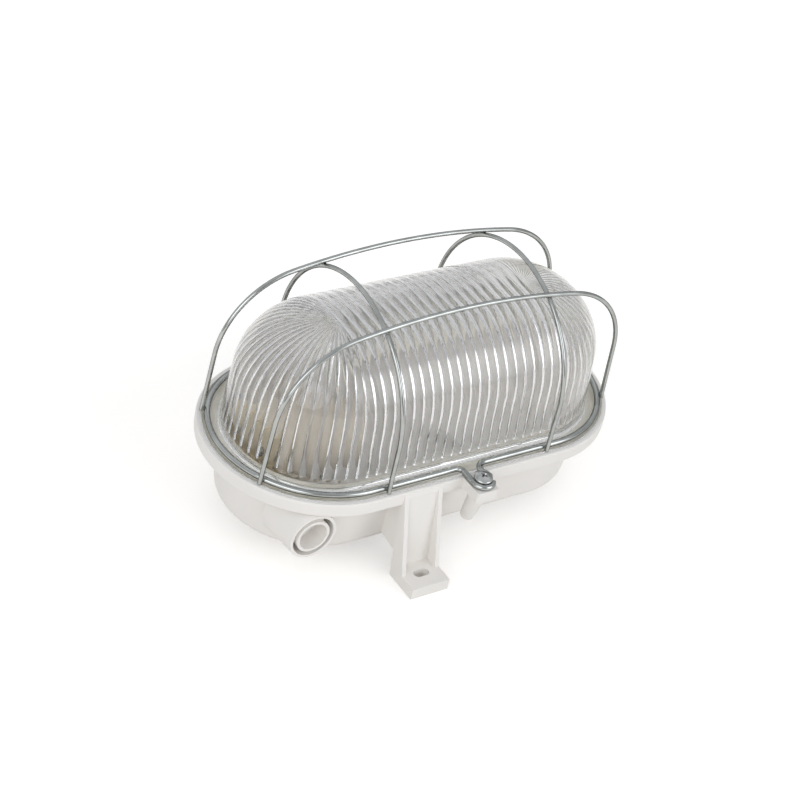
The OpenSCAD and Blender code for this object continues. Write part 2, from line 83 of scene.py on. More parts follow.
# Sizes of the scene's own, in millimetres: the flange clears the gasket, and the ribs start lower.
FLANGE_LOW = 51.3
RIB_START = 2.2

# Where most of a noise's values lie.
NOISE_LOW, NOISE_HIGH = 0.3, 0.7

MATH = "ShaderNodeMath"


# Small helpers

def linear(hex_colour, alpha=1.0):
    """Turns an sRGB hex colour into the linear values a shader socket takes."""
    parts = [int(hex_colour[i:i + 2], 16) / 255 for i in (1, 3, 5)]
    return tuple(c / 12.92 if c <= 0.04045 else ((c + 0.055) / 1.055) ** 2.4 for c in parts) + (alpha,)


def add(tree, kind, inputs=None, **settings):
    """Adds a node, sets its fields, and fills its inputs with values, sockets or nodes' first outputs."""
    made = tree.nodes.new(kind)
    for name, value in settings.items():
        setattr(made, name, value)
    for key, value in (inputs or {}).items():
        if isinstance(value, bpy.types.Node):
            value = value.outputs[0]
        if isinstance(value, bpy.types.NodeSocket):
            tree.links.new(value, made.inputs[key])
        else:
            made.inputs[key].default_value = value
    return made


def show(name, mesh):
    """Puts a mesh into the scene as an object at the origin."""
    piece = bpy.data.objects.new(name, mesh)
    SCENE.collection.objects.link(piece)
    return piece


def dress(piece, body, slot, *nodes):
    """Says which body a piece rides on and which solids it stands for. The slot, the finish it would take,
    is not used.
    """
    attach(piece, body)
    if nodes:
        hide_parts(*nodes)
    return piece


def mesh_from(name, points, faces):
    """Makes a mesh from points in millimetres."""
    mesh = bpy.data.meshes.new(name)
    mesh.from_pydata([(x * MM, y * MM, z * MM) for x, y, z in points], [], faces)
    mesh.update()
    return mesh


def new_tree(name, sockets):
    """Starts a Geometry Nodes tree with a geometry input and output and the named inputs."""
    tree = bpy.data.node_groups.new(name, "GeometryNodeTree")
    tree.interface.new_socket("Geometry", in_out="INPUT", socket_type="NodeSocketGeometry")
    for label, kind in sockets.items():
        tree.interface.new_socket(label, in_out="INPUT", socket_type="NodeSocket" + kind)
    tree.interface.new_socket("Geometry", in_out="OUTPUT", socket_type="NodeSocketGeometry")
    return tree, add(tree, "NodeGroupInput").outputs


def close_tree(tree, geometry, material):
    """Ends a tree in Realize Instances and Set Material."""
    real = add(tree, "GeometryNodeRealizeInstances", {"Geometry": geometry})
    paint = add(tree, "GeometryNodeSetMaterial", {"Geometry": real, "Material": material})
    add(tree, "NodeGroupOutput", {0: paint})


def finished(piece):
    """Applies a piece's modifiers and returns it as a plain mesh of the same name."""
    graph = bpy.context.evaluated_depsgraph_get()
    mesh = bpy.data.meshes.new_from_object(piece.evaluated_get(graph))
    name = piece.name
    bpy.data.objects.remove(piece)
    return show(name, mesh)


def realised(source, tree, values):
    """Runs a tree on a source object and returns the result as a plain mesh."""
    modifier = source.modifiers.new("shape", "NODES")
    modifier.node_group = tree
    for item in tree.interface.items_tree:
        if item.in_out == "INPUT" and item.name in values:
            modifier[item.identifier] = values[item.name]
    return finished(source)


# Camera at the photograph's viewing angle

def place_camera():
    azimuth, elevation, roll = (math.radians(a) for a in (-40.55, 36.33, 13.42))
    back = Vector((math.sin(azimuth) * math.cos(elevation),
                   -math.cos(azimuth) * math.cos(elevation),
                   math.sin(elevation)))
    right = Vector((math.cos(azimuth), math.sin(azimuth), 0))
    up = back.cross(right)
    rolled_right = math.cos(roll) * right + math.sin(roll) * up
    rolled_up = math.cos(roll) * up - math.sin(roll) * right
    data = bpy.data.cameras.new("photo_camera")
    data.lens = 90
    data.sensor_width = 36
    camera = bpy.data.objects.new("photo_camera", data)
    SCENE.collection.objects.link(camera)
    across, above, away = -4.83, 0.52, 1105.87
    place = (across * rolled_right + above * rolled_up + away * back) * MM + Vector((0, 0, RING_Z * MM))
    turn = Matrix((rolled_right, rolled_up, back)).transposed().to_4x4()
    camera.matrix_world = Matrix.Translation(place) @ turn
    SCENE.camera = camera


place_camera()


# Materials

def material(name, **sockets):
    """A Principled material whose plain values are set on the shader's own sockets."""
    made = bpy.data.materials.new(name)
    made.use_nodes = True
    made.node_tree.nodes.clear()
    tree = made.node_tree
    shader = add(tree, "ShaderNodeBsdfPrincipled", {k.replace("_", " "): v for k, v in sockets.items()})
    add(tree, "ShaderNodeOutputMaterial", {"Surface": shader.outputs[0]})
    coords = add(tree, "ShaderNodeTexCoord").outputs["Object"]
    return made, tree, shader, coords


def mottled_finish(name, light, dark, gloss, cloud, grain, relief_mm, **sockets):
    """Two close tones in soft clouds, with a finer grain in gloss and relief.

    gloss is the lowest and highest roughness. cloud and grain are each a size in millimetres and a detail.
    """
    made, tree, shader, coords = material(name, **sockets)
    clouds, grains = [
        add(tree, "ShaderNodeTexNoise", {"Vector": coords, "Scale": 1000 / size_mm, "Detail": detail})
        for size_mm, detail in (cloud, grain)]
    patch = add(tree, "ShaderNodeMapRange", {0: clouds, 1: NOISE_LOW, 2: NOISE_HIGH})
    tone = add(tree, "ShaderNodeMix", {0: patch, 6: linear(dark), 7: linear(light)}, data_type="RGBA")
    rough = add(tree, "ShaderNodeMapRange", {
        0: grains, 1: NOISE_LOW, 2: NOISE_HIGH, 3: gloss[0], 4: gloss[1]})
    relief = add(tree, "ShaderNodeBump", {"Height": grains, "Distance": relief_mm * MM, "Strength": 1.0})
    tree.links.new(tone.outputs[2], shader.inputs["Base Color"])
    tree.links.new(rough.outputs[0], shader.inputs["Roughness"])
    tree.links.new(relief.outputs[0], shader.inputs["Normal"])
    return made


def plated_finish(name, light, dark, edge, gloss, blotch_mm):
    """Plated or rolled metal: soft patches of tone and gloss, and a dark edge tint that paints its
    reflection darker where it turns away.
    """
    relief_mm = 0.004
    # The edge tint paints a darker reflection at grazing angles.
    return mottled_finish(name, light, dark, gloss, (blotch_mm, 3.0), (blotch_mm / 6, 2.0), relief_mm,
                          Metallic=1.0, Specular_Tint=linear(edge))


def soft_finish(name, light, dark, gloss, grain_mm, relief_mm, ior):
    """A dyed or fired body: clouds twelve times the size of its grain."""
    return mottled_finish(name, light, dark, gloss, (grain_mm * 12, 2.0), (grain_mm, 3.0), relief_mm,
                          IOR=ior)


def pressed_glass():
    # Pressed soda-lime glass: clear, with slightly wavy, fire-polished faces.
    # The ribbed dome is tinted a little darker, and the flange and foot are left clearer: painted light
    # that lifts the shaded gasket and tub seen through them.
    # Lamp light passes straight through it, so that it reaches what lies inside.
    made, tree, shader, coords = material("pressed_clear_glass", IOR=1.5, Roughness=0.0,
                                          Transmission_Weight=1.0)
    # The clearer tone below the dome is painted light on the shaded parts seen through it.
    clear, tinted = linear("#FBFBF9"), linear("#E9E9E9")
    wave_mm, wave_depth_mm = 9, 0.05
    dome_low, dome_high = 58 * MM, 66 * MM
    drawn = add(tree, "ShaderNodeVectorMath", {0: coords, 1: (1, 1, 0.25)}, operation="MULTIPLY")
    wave = add(tree, "ShaderNodeTexNoise", {"Vector": drawn, "Scale": 1000 / wave_mm, "Detail": 1.0})
    height = add(tree, "ShaderNodeSeparateXYZ", {0: coords}).outputs[2]
    dome = add(tree, "ShaderNodeMapRange", {0: height, 1: dome_low, 2: dome_high})
    tone = add(tree, "ShaderNodeMix", {0: dome, 6: clear, 7: tinted}, data_type="RGBA")
    relief = add(tree, "ShaderNodeBump", {"Height": wave, "Distance": wave_depth_mm * MM, "Strength": dome})
    tree.links.new(tone.outputs[2], shader.inputs["Base Color"])
    tree.links.new(relief.outputs[0], shader.inputs["Normal"])
    shadow = add(tree, "ShaderNodeLightPath").outputs["Is Shadow Ray"]
    passing = add(tree, "ShaderNodeBsdfTransparent")
    both = add(tree, "ShaderNodeMixShader", {0: shadow, 1: shader, 2: passing})
    tree.links.new(both.outputs[0], tree.nodes["Material Output"].inputs["Surface"])
    return made


# Moulded thermoplastic from a spark-eroded mould: a soft, slightly grainy warm white.
# The real grain is about 0.2 mm, too fine for the render, so it is drawn at 0.9 mm.
# Light thrown to and fro in its gaps turns warmer each time, so they look creamy.
PLASTIC = mottled_finish("moulded_white_plastic", "#EDE9E4", "#E9E5DF", (0.46, 0.6), (45, 2.0), (0.9, 3.0),
                         0.05, IOR=1.49)
GLASS = pressed_glass()
# Bright drawn wire under zinc: a light centre between dark sides, the dark sides a painted reflection from
# a near-black edge tint.
ZINC_WIRE = plated_finish("galvanised_steel_wire", "#BEC0BD", "#A6A8A5", "#1E201E", (0.09, 0.16), 9)
# Zinc over a small melted nugget: greyer and duller than the wire.
ZINC_WELD = plated_finish("galvanised_weld", "#9A9C98", "#6E706C", "#3A3C3A", (0.3, 0.45), 2)
# Barrel-plated screw: bright, with fine patches.
ZINC_SCREW = plated_finish("zinc_plated_screw", "#CFD0CE", "#B4B5B3", "#3A3C3A", (0.12, 0.22), 3)
# Moulded rubber: an even, dull cream.
RUBBER = soft_finish("moulded_cream_rubber", "#F7F2E6", "#F0EADB", (0.6, 0.75), 0.8, 0.03, 1.5)
# Fired porcelain: a smooth beige body with a soft shine.
PORCELAIN = soft_finish("beige_porcelain", "#D2C8B8", "#C4B8A4", (0.3, 0.42), 2.5, 0.02, 1.5)
# Rolled brass: a warm yellow shine.
BRASS = plated_finish("rolled_brass", "#D9BE78", "#C4A35C", "#8A6A30", (0.2, 0.32), 4)
# Zinc-plated sheet under a yellow passivated film: pale, dull and warm.
BRACKET = plated_finish("yellow_passivated_sheet_steel", "#EBE0C8", "#E1D4B8", "#C8B898", (0.65, 0.8), 8)
# Moulded terminal plastic: a plain off-white.
BLOCK = soft_finish("moulded_terminal_plastic", "#F0EFEA", "#E6E4DC", (0.4, 0.5), 0.8, 0.02, 1.5)
# Extruded PVC insulation: one even colour with a slight shine.
BROWN_PVC = soft_finish("brown_pvc_insulation", "#6B4128", "#5C3620", (0.35, 0.45), 0.8, 0.02, 1.52)
BLUE_PVC = soft_finish("blue_pvc_insulation", "#3E6FA8", "#335F93", (0.35, 0.45), 0.8, 0.02, 1.52)

NODE_FINISH = {
    "lampholder_body": PORCELAIN,
    "lampholder_shell": BRASS,
    "lampholder_contact": BRASS,
    "lampholder_bracket": BRACKET,
    "lampholder_screws": ZINC_SCREW,
    "bracket_screws": ZINC_SCREW,
    "terminal_block": BLOCK,
    "terminal_sleeves": BRASS,
    "terminal_screws": ZINC_SCREW,
    "block_screw": ZINC_SCREW,
    "live_lead": BROWN_PVC,
    "neutral_lead": BLUE_PVC,
}
for node_name, finish in NODE_FINISH.items():
    node_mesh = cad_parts[node_name].data
    node_mesh.materials.clear()
    node_mesh.materials.append(finish)


# Moulded base

def solid_copy(node):
    """A clean copy of a solid's mesh: doubles merged and flat faces joined."""
    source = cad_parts[node].data
    mesh = bpy.data.meshes.new(node)
    mesh.from_pydata([v.co[:] for v in source.vertices], [], [f.vertices[:] for f in source.polygons])
    shape = bmesh.new()
    shape.from_mesh(mesh)
    bmesh.ops.remove_doubles(shape, verts=shape.verts, dist=3e-6)
    bmesh.ops.dissolve_degenerate(shape, dist=1e-6, edges=shape.edges)
    bmesh.ops.dissolve_limit(shape, angle_limit=math.radians(0.5), verts=shape.verts, edges=shape.edges)
    shape.to_mesh(mesh)
    shape.free()
    return mesh


def make_base():
    """The base with the small rounds that a mould leaves on every edge."""
    base = show("moulded_base", solid_copy("base"))
    base.data.shade_smooth()
    rounds = base.modifiers.new("edge_rounds", "BEVEL")
    rounds.width = 0.45 * MM
    rounds.segments = 3
    rounds.limit_method = "ANGLE"
    rounds.angle_limit = math.radians(32)
    rounds.use_clamp_overlap = True
    rounds.harden_normals = True
    base = finished(base)
    base.data.materials.append(PLASTIC)
    dress(base, "base", "base_plastic", "base")


make_base()


# Ribbed glass cover

def dome_outline(inset):
    """Points (radius, height) of the dome's face from the top of the flange to the crown."""
    r = SHOULDER_R - inset
    centre_z = DOME_TOP - SHOULDER_R
    side = (SHOULDER_R + (centre_z - FLANGE_TOP) * math.sin(DOME_LEAN)) / math.cos(DOME_LEAN)
    crown = DOME_R - side
    foot = DOME_R - inset / math.cos(DOME_LEAN)
    turn_x, turn_z = crown + r * math.cos(DOME_LEAN), centre_z + r * math.sin(DOME_LEAN)
    return foot, (turn_x, turn_z), (crown, centre_z), r


def glass_rows():
    """Closed section of the glass wall: rows of (radius, height, inside)."""
    rows = []
    foot, turn, centre, r = dome_outline(0)
    edge = 0.8
    fillet, fillet_steps = 4.5, 8
    fillet_step = (math.pi / 2 - DOME_LEAN) / fillet_steps
    rows += [(FLANGE_R - 13, FLANGE_LOW, 0), (FLANGE_R - 5, FLANGE_LOW, 0)]
    for low, quarter in ((True, -90), (False, 0)):
        z = FLANGE_LOW + edge if low else FLANGE_TOP - edge
        for k in range(4):
            a = math.radians(quarter + k * 30)
            rows.append((FLANGE_R - edge + edge * math.cos(a), z + edge * math.sin(a), 0))
    for k in range(fillet_steps + 1):
        a = -math.pi / 2 - k * fillet_step
        rows.append((foot + fillet + fillet * math.cos(a), FLANGE_TOP + fillet + fillet * math.sin(a), 0))
    start = rows[-1]
    for k in range(1, 7):
        f = k / 6
        rows.append((start[0] + (turn[0] - start[0]) * f, start[1] + (turn[1] - start[1]) * f, 0))
    for k in range(1, 23):
        a = DOME_LEAN + (math.pi / 2 - DOME_LEAN) * k / 22
        rows.append((centre[0] + r * math.cos(a), centre[1] + r * math.sin(a), 0))
    rows += [(centre[0] * f, DOME_TOP, 0) for f in (0.66, 0.33, 0)]
    foot, turn, centre, r = dome_outline(GLASS_T)
    rows += [(centre[0] * f, DOME_TOP - GLASS_T, 1) for f in (0, 0.25, 0.5, 0.75)]
    for k in range(29):
        a = math.pi / 2 - (math.pi / 2 - DOME_LEAN) * k / 28
        rows.append((centre[0] + r * math.cos(a), centre[1] + r * math.sin(a), 1))
    # The rows lie close together where the ribs' rounded feet are.
    heights = [*np.linspace(turn[1], 60.5, 12)[1:], *np.arange(60, 56.4, -0.4), 55]
    for z in heights:
        rows.append((foot + (turn[0] - foot) * (z - FLANGE_TOP) / (turn[1] - FLANGE_TOP), z, 1))
    rows.append((foot, FLANGE_LOW + 0.6, 0))
    return rows


def oval_stations(hoops, end_ribs, per_rib):
    """Points round the oval: (centre along x, direction across) so that each rib has per_rib steps."""
    stations = []
    mid, end = hoops * per_rib, end_ribs * per_rib
    for side in (1, -1):
        stations += [(side * (HALF - 2 * HALF * k / mid), (0, side)) for k in range(mid)]
        for k in range(end):
            a = math.radians(90 * side) + math.pi * k / end
            stations.append((-side * HALF, (math.cos(a), math.sin(a))))
    return stations


def oval_sweep(name, rows, stations):
    """One closed wall: a section of rows (radius, height, inside) swept round the oval."""
    points = [(cx + dx * r, dy * r, z) for cx, (dx, dy) in stations for r, z, _ in rows]
    inside = [flag for _ in stations for _, _, flag in rows]
    n, m = len(stations), len(rows)
    skin = [j for j in range(m) if rows[j][0] or rows[(j + 1) % m][0]]
    faces = [(i * m + j, i * m + (j + 1) % m, (i + 1) % n * m + (j + 1) % m, (i + 1) % n * m + j)
             for i in range(n) for j in skin]
    mesh = mesh_from(name, points, faces)
    mesh.attributes.new("inside", "FLOAT", "POINT").data.foreach_set("value", inside)
    shape = bmesh.new()
    shape.from_mesh(mesh)
    bmesh.ops.remove_doubles(shape, verts=shape.verts, dist=1e-6)
    bmesh.ops.recalc_face_normals(shape, faces=shape.faces)
    shape.to_mesh(mesh)
    shape.free()
    return show(name, mesh)


def rib_tree():
    """Raises rounded ribs on the inside: hoops along the middle and rays at the ends."""
    tree, given = new_tree("Glass ribs", {
        "Rib depth": "Float", "Hoop pitch": "Float", "Ribs per end": "Float", "Half length": "Float",
        "Rib foot": "Float", "Round end": "Float", "Pole clear": "Float", "Pole full": "Float",
        "Ray depth": "Float", "Material": "Material"})
    spot = add(tree, "ShaderNodeSeparateXYZ", {0: add(tree, "GeometryNodeInputPosition")})
    x, y, z = spot.outputs

    # Which rib a point lies on, and how far from the rib's middle, from -1 to 1.
    along = add(tree, MATH, {0: x}, operation="ABSOLUTE")
    across = add(tree, MATH, {0: y}, operation="ABSOLUTE")
    over = add(tree, MATH, {0: along, 1: given["Half length"]}, operation="SUBTRACT")
    past = add(tree, MATH, {0: over, 1: 0.0}, operation="MAXIMUM")
    angle = add(tree, MATH, {0: past, 1: across}, operation="ARCTAN2")
    turns = add(tree, MATH, {0: angle, 1: given["Ribs per end"]}, operation="MULTIPLY")
    ray = add(tree, MATH, {0: turns, 1: math.pi}, operation="DIVIDE")
    from_end = add(tree, MATH, {0: x, 1: given["Half length"]}, operation="ADD")
    hoop = add(tree, MATH, {0: from_end, 1: given["Hoop pitch"]}, operation="DIVIDE")
    at_end = add(tree, MATH, {0: over, 1: 1e-6}, operation="GREATER_THAN")
    phase = add(tree, "ShaderNodeMix", {0: at_end, 2: hoop, 3: ray})
    part = add(tree, MATH, {0: phase}, operation="FRACT")
    twice = add(tree, MATH, {0: part, 1: 2.0}, operation="MULTIPLY")
    swing = add(tree, MATH, {0: twice, 1: 1.0}, operation="SUBTRACT")

    # The rib's arch, rounded off at its foot.
    above = add(tree, MATH, {0: z, 1: given["Rib foot"]}, operation="SUBTRACT")
    rise = add(tree, MATH, {0: above, 1: given["Round end"]}, operation="DIVIDE")
    short = add(tree, MATH, {0: 1.0, 1: rise}, operation="SUBTRACT")
    foot = add(tree, MATH, {0: short, 1: 0.0}, operation="MAXIMUM")
    swing_square = add(tree, MATH, {0: swing, 1: swing}, operation="MULTIPLY")
    foot_square = add(tree, MATH, {0: foot, 1: foot}, operation="MULTIPLY")
    square = add(tree, MATH, {0: swing_square, 1: foot_square}, operation="ADD")
    left = add(tree, MATH, {0: 1.0, 1: square}, operation="SUBTRACT")
    arch = add(tree, MATH, {0: left, 1: 0.0}, operation="MAXIMUM")

    # The rays fade out towards the pole that they meet at.
    past_square = add(tree, MATH, {0: past, 1: past}, operation="MULTIPLY")
    across_square = add(tree, MATH, {0: across, 1: across}, operation="MULTIPLY")
    pole_square = add(tree, MATH, {0: past_square, 1: across_square}, operation="ADD")
    pole = add(tree, MATH, {0: pole_square}, operation="SQRT")
    fade = add(tree, "ShaderNodeMapRange", {
        0: pole, 1: given["Pole clear"], 2: given["Pole full"], 4: given["Ray depth"]})
    mask = add(tree, "ShaderNodeMix", {0: at_end, 2: 1.0, 3: fade})
    inside = add(tree, "GeometryNodeInputNamedAttribute", {"Name": "inside"}, data_type="FLOAT")
    shown = add(tree, MATH, {0: arch, 1: mask}, operation="MULTIPLY")
    deep = add(tree, MATH, {0: inside, 1: given["Rib depth"]}, operation="MULTIPLY")
    height = add(tree, MATH, {0: shown, 1: deep}, operation="MULTIPLY")
    normal = add(tree, "GeometryNodeInputNormal")
    lift = add(tree, "ShaderNodeVectorMath", {0: normal, "Scale": height}, operation="SCALE")
    shaped = add(tree, "GeometryNodeSetPosition", {"Geometry": given["Geometry"], "Offset": lift})
    smooth = add(tree, "GeometryNodeSetShadeSmooth", {0: shaped})
    close_tree(tree, smooth.outputs[0], given["Material"])
    return tree


def make_glass():
    steps_per_rib = 10
    blank = oval_sweep("ribbed_glass", glass_rows(), oval_stations(HOOP_RIBS, END_RIBS, steps_per_rib))
    glass = realised(blank, rib_tree(), {
        "Rib depth": 1.5 * MM, "Hoop pitch": 2 * HALF / HOOP_RIBS * MM, "Ribs per end": float(END_RIBS),
        "Half length": HALF * MM, "Rib foot": (FLANGE_TOP + RIB_START) * MM, "Round end": 2.4 * MM,
        "Pole clear": 2 * MM, "Pole full": 36 * MM, "Ray depth": 0.7, "Material": GLASS})
    glass.data.set_sharp_from_angle(angle=math.radians(32))
    dress(glass, "base", "cover_glass", "glass")


def make_gasket():
    """A flat rubber ring under the flange, seen through the clear foot of the glass."""
    low, high, inner, outer, edge = 49.3, 51.1, 44.0, 61.8, 0.4
    rows = [(inner, low + edge, 0), (inner + edge, low, 0),
            (outer - edge, low, 0), (outer, low + edge, 0),
            (outer, high - edge, 0), (outer - edge, high, 0),
            (inner + edge, high, 0), (inner, high - edge, 0)]
    gasket = oval_sweep("flat_gasket", rows, oval_stations(HOOP_RIBS, END_RIBS, 3))
    gasket.data.shade_smooth()
    gasket.data.set_sharp_from_angle(angle=math.radians(50))
    gasket.data.materials.append(RUBBER)
    dress(gasket, "base", "gasket_rubber", "gasket")


make_glass()
make_gasket()


# Wire guard

def wire_path(start, heading, side, steps):
    """Points along a wire: [0, length] runs straight, [radius, angle] turns towards side."""
    spot, ahead, side = Vector(start), Vector(heading).normalized(), Vector(side).normalized()
    points = [spot.copy()]
    for radius, amount in steps:
        if radius == 0:
            pieces = max(1, round(amount / 3))
            points += [spot + ahead * (amount * k / pieces) for k in range(1, pieces + 1)]
            spot = spot + ahead * amount
            continue
        turn = math.radians(amount)
        sign = math.copysign(1, turn)
        centre = spot + side * sign * radius
        pieces = max(6, round(abs(amount) / 5), round(abs(turn) * radius / 3))
        for k in range(1, pieces + 1):
            a = abs(turn) * k / pieces
            points.append(centre - side * sign * radius * math.cos(a) + ahead * radius * math.sin(a))
        spot = points[-1].copy()
        ahead, side = (ahead * math.cos(turn) + side * math.sin(turn),
                       side * math.cos(turn) - ahead * math.sin(turn))
    return points


def wire_curve(name, points):
    """An open curve through points in millimetres."""
    data = bpy.data.curves.new(name, "CURVE")
    data.dimensions = "3D"
    line = data.splines.new("POLY")
    line.points.add(len(points) - 1)
    for spot, point in zip(points, line.points):
        point.co = (*(spot * MM), 1)
    return show(name, data)


def wire_tree():
    """Sweeps a round wire along a curve, with flat cut ends."""
    tree, given = new_tree("Drawn wire", {"Wire radius": "Float", "Sides": "Int", "Material": "Material"})
    round_wire = add(tree, "GeometryNodeCurvePrimitiveCircle",
                     {"Resolution": given["Sides"], "Radius": given["Wire radius"]})
    swept = add(tree, "GeometryNodeCurveToMesh", {
        "Curve": given["Geometry"], "Profile Curve": round_wire, "Fill Caps": True})
    close_tree(tree, swept.outputs[0], given["Material"])
    return tree


def ring_points():
    """The ring wire from its eye round the lock screw, by the hinge bar, to its hooked tail."""
    drop = HINGE_Y - RING_R - 2 * BEND_R
    rear = HALF - HINGE_BAR - 2 * BEND_R
    a = math.radians(-30)
    start = LOCK + Vector((EYE_R * math.cos(a), EYE_R * math.sin(a), RING_Z))
    path = wire_path(start, (math.sin(a), -math.cos(a), 0), (math.cos(a), math.sin(a), 0), [
        (EYE_R, -150), (0, -LOCK.y - RING_R - BEND_R), (BEND_R, 90),
        (0, HALF + LOCK.x - EYE_R - BEND_R), (RING_R, -180), (0, rear), (BEND_R, 90), (0, drop),
        (BEND_R, -90), (0, 2 * HINGE_BAR), (BEND_R, -90), (0, drop), (BEND_R, 90), (0, rear),
        (RING_R, -180), (0, HALF - LOCK.x - EYE_R - 5)])
    tail = [(10.2, -59.1), (8.4, -59.7), (6.7, -60.9), (5.6, -62.6), (5.3, -64.4), (5.8, -66.2),
            (6.6, -67.9), (7.1, -69.7), (7.1, -71.4)]
    return path + eased([path[-1].xy, *(Vector(spot) for spot in tail)])[1:]


def eased(corners):
    """A smooth line through points of the ring's plane."""
    ends = [2 * corners[0] - corners[1], *corners, 2 * corners[-1] - corners[-2]]
    line = [corners[0]]
    for before, here, there, after in zip(ends, ends[1:], ends[2:], ends[3:]):
        for t in (0.25, 0.5, 0.75, 1):
            line.append(0.5 * (2 * here + (there - before) * t
                               + (2 * before - 5 * here + 4 * there - after) * t * t
                               + (3 * here - before - 3 * there + after) * t ** 3))
    return [Vector((spot.x, spot.y, RING_Z)) for spot in line]


def bow_points(y):
    """A bow: a leaning leg, a bend, a slightly arched crown, and the same again downwards."""
    lean_angle, crown_angle, leg, over_glass = 4, 10.3, 37, 17.1
    lean, crown = math.radians(lean_angle), math.radians(crown_angle)
    low = RING_Z - WIRE_R
    top = DOME_TOP + over_glass
    weld_r = RING_R + WIRE_R + BOW_R + WELD_GAP
    half = HALF + math.sqrt(weld_r ** 2 - BOW_Y ** 2) + WIRE_R * math.tan(lean)
    dx = half - leg * math.sin(lean)
    dz = top - low - leg * math.cos(lean)
    m1, m2, m3 = math.cos(lean) - math.sin(crown), math.cos(crown) - math.sin(lean), 1 - math.cos(crown)
    crown_r = (dx * m2 - dz * m1) / (math.sin(crown) * m2 - m3 * m1)
    bend = (dx - crown_r * math.sin(crown)) / m1
    turn = 90 - lean_angle - crown_angle
    return wire_path((-half, y, low), (math.sin(lean), 0, math.cos(lean)),
                     (-math.cos(lean), 0, math.sin(lean)),
                     [(0, leg), (bend, -turn), (crown_r, -2 * crown_angle), (bend, -turn), (0, leg)])


def hoop_points(x):
    """A hoop: two upright legs and half a circle."""
    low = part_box("guard_hoop_left")[0].z / MM
    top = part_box("guard_hoop_left")[1].z / MM - BOW_R
    radius = RING_R + WIRE_R + BOW_R + WELD_GAP
    leg = top - radius - low
    return wire_path((x, -radius, low), (0, 0, 1), (0, -1, 0), [(0, leg), (radius, -180), (0, leg)])


def make_guard():
    tree = wire_tree()
    wires = {
        "guard_ring": (ring_points(), WIRE_R),
        "guard_bow_front": (bow_points(-BOW_Y), BOW_R),
        "guard_bow_rear": (bow_points(BOW_Y), BOW_R),
        "guard_hoop_left": (hoop_points(-HOOP_X), BOW_R),
        "guard_hoop_right": (hoop_points(HOOP_X), BOW_R),
    }
    for node, (points, radius) in wires.items():
        wire = realised(wire_curve(node + "_wire", points), tree,
                        {"Wire radius": radius * MM, "Sides": 28, "Material": ZINC_WIRE})
        dress(wire, "guard", "zinc_wire", node)


make_guard()


def weld_tree():
    """Sets a small rounded nugget of metal on each weld point, flat along the wires."""
    tree, given = new_tree("Weld nuggets", {"Nugget radius": "Float", "Material": "Material"})
    ball = add(tree, "GeometryNodeMeshUVSphere", {
        "Segments": 16, "Rings": 10, "Radius": given["Nugget radius"]})
    soft = add(tree, "GeometryNodeSetShadeSmooth", {0: ball})
    across = add(tree, "GeometryNodeInputNamedAttribute", {"Name": "across"}, data_type="FLOAT_VECTOR")
    turn = add(tree, "FunctionNodeAlignRotationToVector", {"Vector": across}, axis="Z")
    spots = add(tree, "GeometryNodeInstanceOnPoints", {
        "Points": given["Geometry"], "Instance": soft, "Rotation": turn,
        "Scale": (1.25, 1.25, 0.8)})
    close_tree(tree, spots.outputs[0], given["Material"])
    return tree


def weld_points():
    """Places where guard wires meet, in millimetres, each with the direction across the joint."""
    bow, hoop = bow_points(BOW_Y), hoop_points(HOOP_X)
    over_legs = 120
    bow_z = min((spot for spot in bow if spot.z >= over_legs), key=lambda spot: abs(spot.x - HOOP_X)).z
    hoop_z = min(hoop, key=lambda spot: abs(spot.y - BOW_Y)).z
    weld_r = RING_R + WIRE_R
    end_y = BOW_Y * weld_r / (weld_r + BOW_R)
    end_x = HALF + math.sqrt(weld_r ** 2 - end_y ** 2)
    spots = []
    for x in (-1, 1):
        for y in (-1, 1):
            spots.append((Vector((x * HOOP_X, y * BOW_Y, (bow_z + hoop_z) / 2)), Vector((0, 0, 1))))
            spots.append((Vector((x * end_x, y * end_y, RING_Z)),
                          Vector((x * (end_x - HALF), y * end_y, 0))))
            spots.append((Vector((x * HOOP_X, y * weld_r, RING_Z)), Vector((0, y, 0))))
    return spots


def make_welds():
    spots = weld_points()
    mesh = mesh_from("guard_welds", [spot for spot, _ in spots], [])
    across = mesh.attributes.new("across", "FLOAT_VECTOR", "POINT")
    across.data.foreach_set("vector", [c for _, way in spots for c in way.normalized()])
    welds = realised(show("guard_welds", mesh), weld_tree(),
                     {"Nugget radius": 1.0 * MM, "Material": ZINC_WELD})
    dress(welds, "guard", "zinc_wire")


make_welds()


# Lock screw

def turned(name, rows, segments, radius_at=None):
    """A closed solid of revolution from rows of (radius, height), optionally shaped round its axis."""
    points, faces = [], []
    for r, z in rows[1:-1]:
        for k in range(segments):
            a = 2 * math.pi * k / segments
            here = radius_at(r, z, a) if radius_at else r
            points.append((here * math.cos(a), here * math.sin(a), z))
    count = len(rows) - 2
    for j in range(count - 1):
        for k in range(segments):
            n = (k + 1) % segments
            here, below = j * segments, (j + 1) * segments
            faces.append((here + k, below + k, below + n, here + n))
    first, last = len(points), len(points) + 1
    points += [(0, 0, rows[0][1]), (0, 0, rows[-1][1])]
    for k in range(segments):
        n = (k + 1) % segments
        faces.append((first, k, n))
        faces.append((last, (count - 1) * segments + n, (count - 1) * segments + k))
    return mesh_from(name, points, faces)


def screw_rows():
    """Section of a pan head screw from the top of its head to its tip."""
    edge = 0.8
    rows = [(0, HEAD_H)]
    rows += [(r, HEAD_H - 0.055 * r * r) for r in (1, 2, 3, 4)]
    for k in range(6):
        a = math.radians(70 - k * 22)
        rows.append((HEAD_R - edge + edge * math.cos(a), 0.75 + edge * math.sin(a)))
    rows += [(HEAD_R - 0.3, 0), (2.3, 0), (2.0, -0.4)]
    rows += [(SHANK_R, -z) for z in np.arange(0.8, SCREW_LENGTH - 1.2, 0.2)]
    rows += [(1.5, -SCREW_LENGTH + 0.6), (0.7, -SCREW_LENGTH + 0.1), (0, -SCREW_LENGTH)]
    return rows


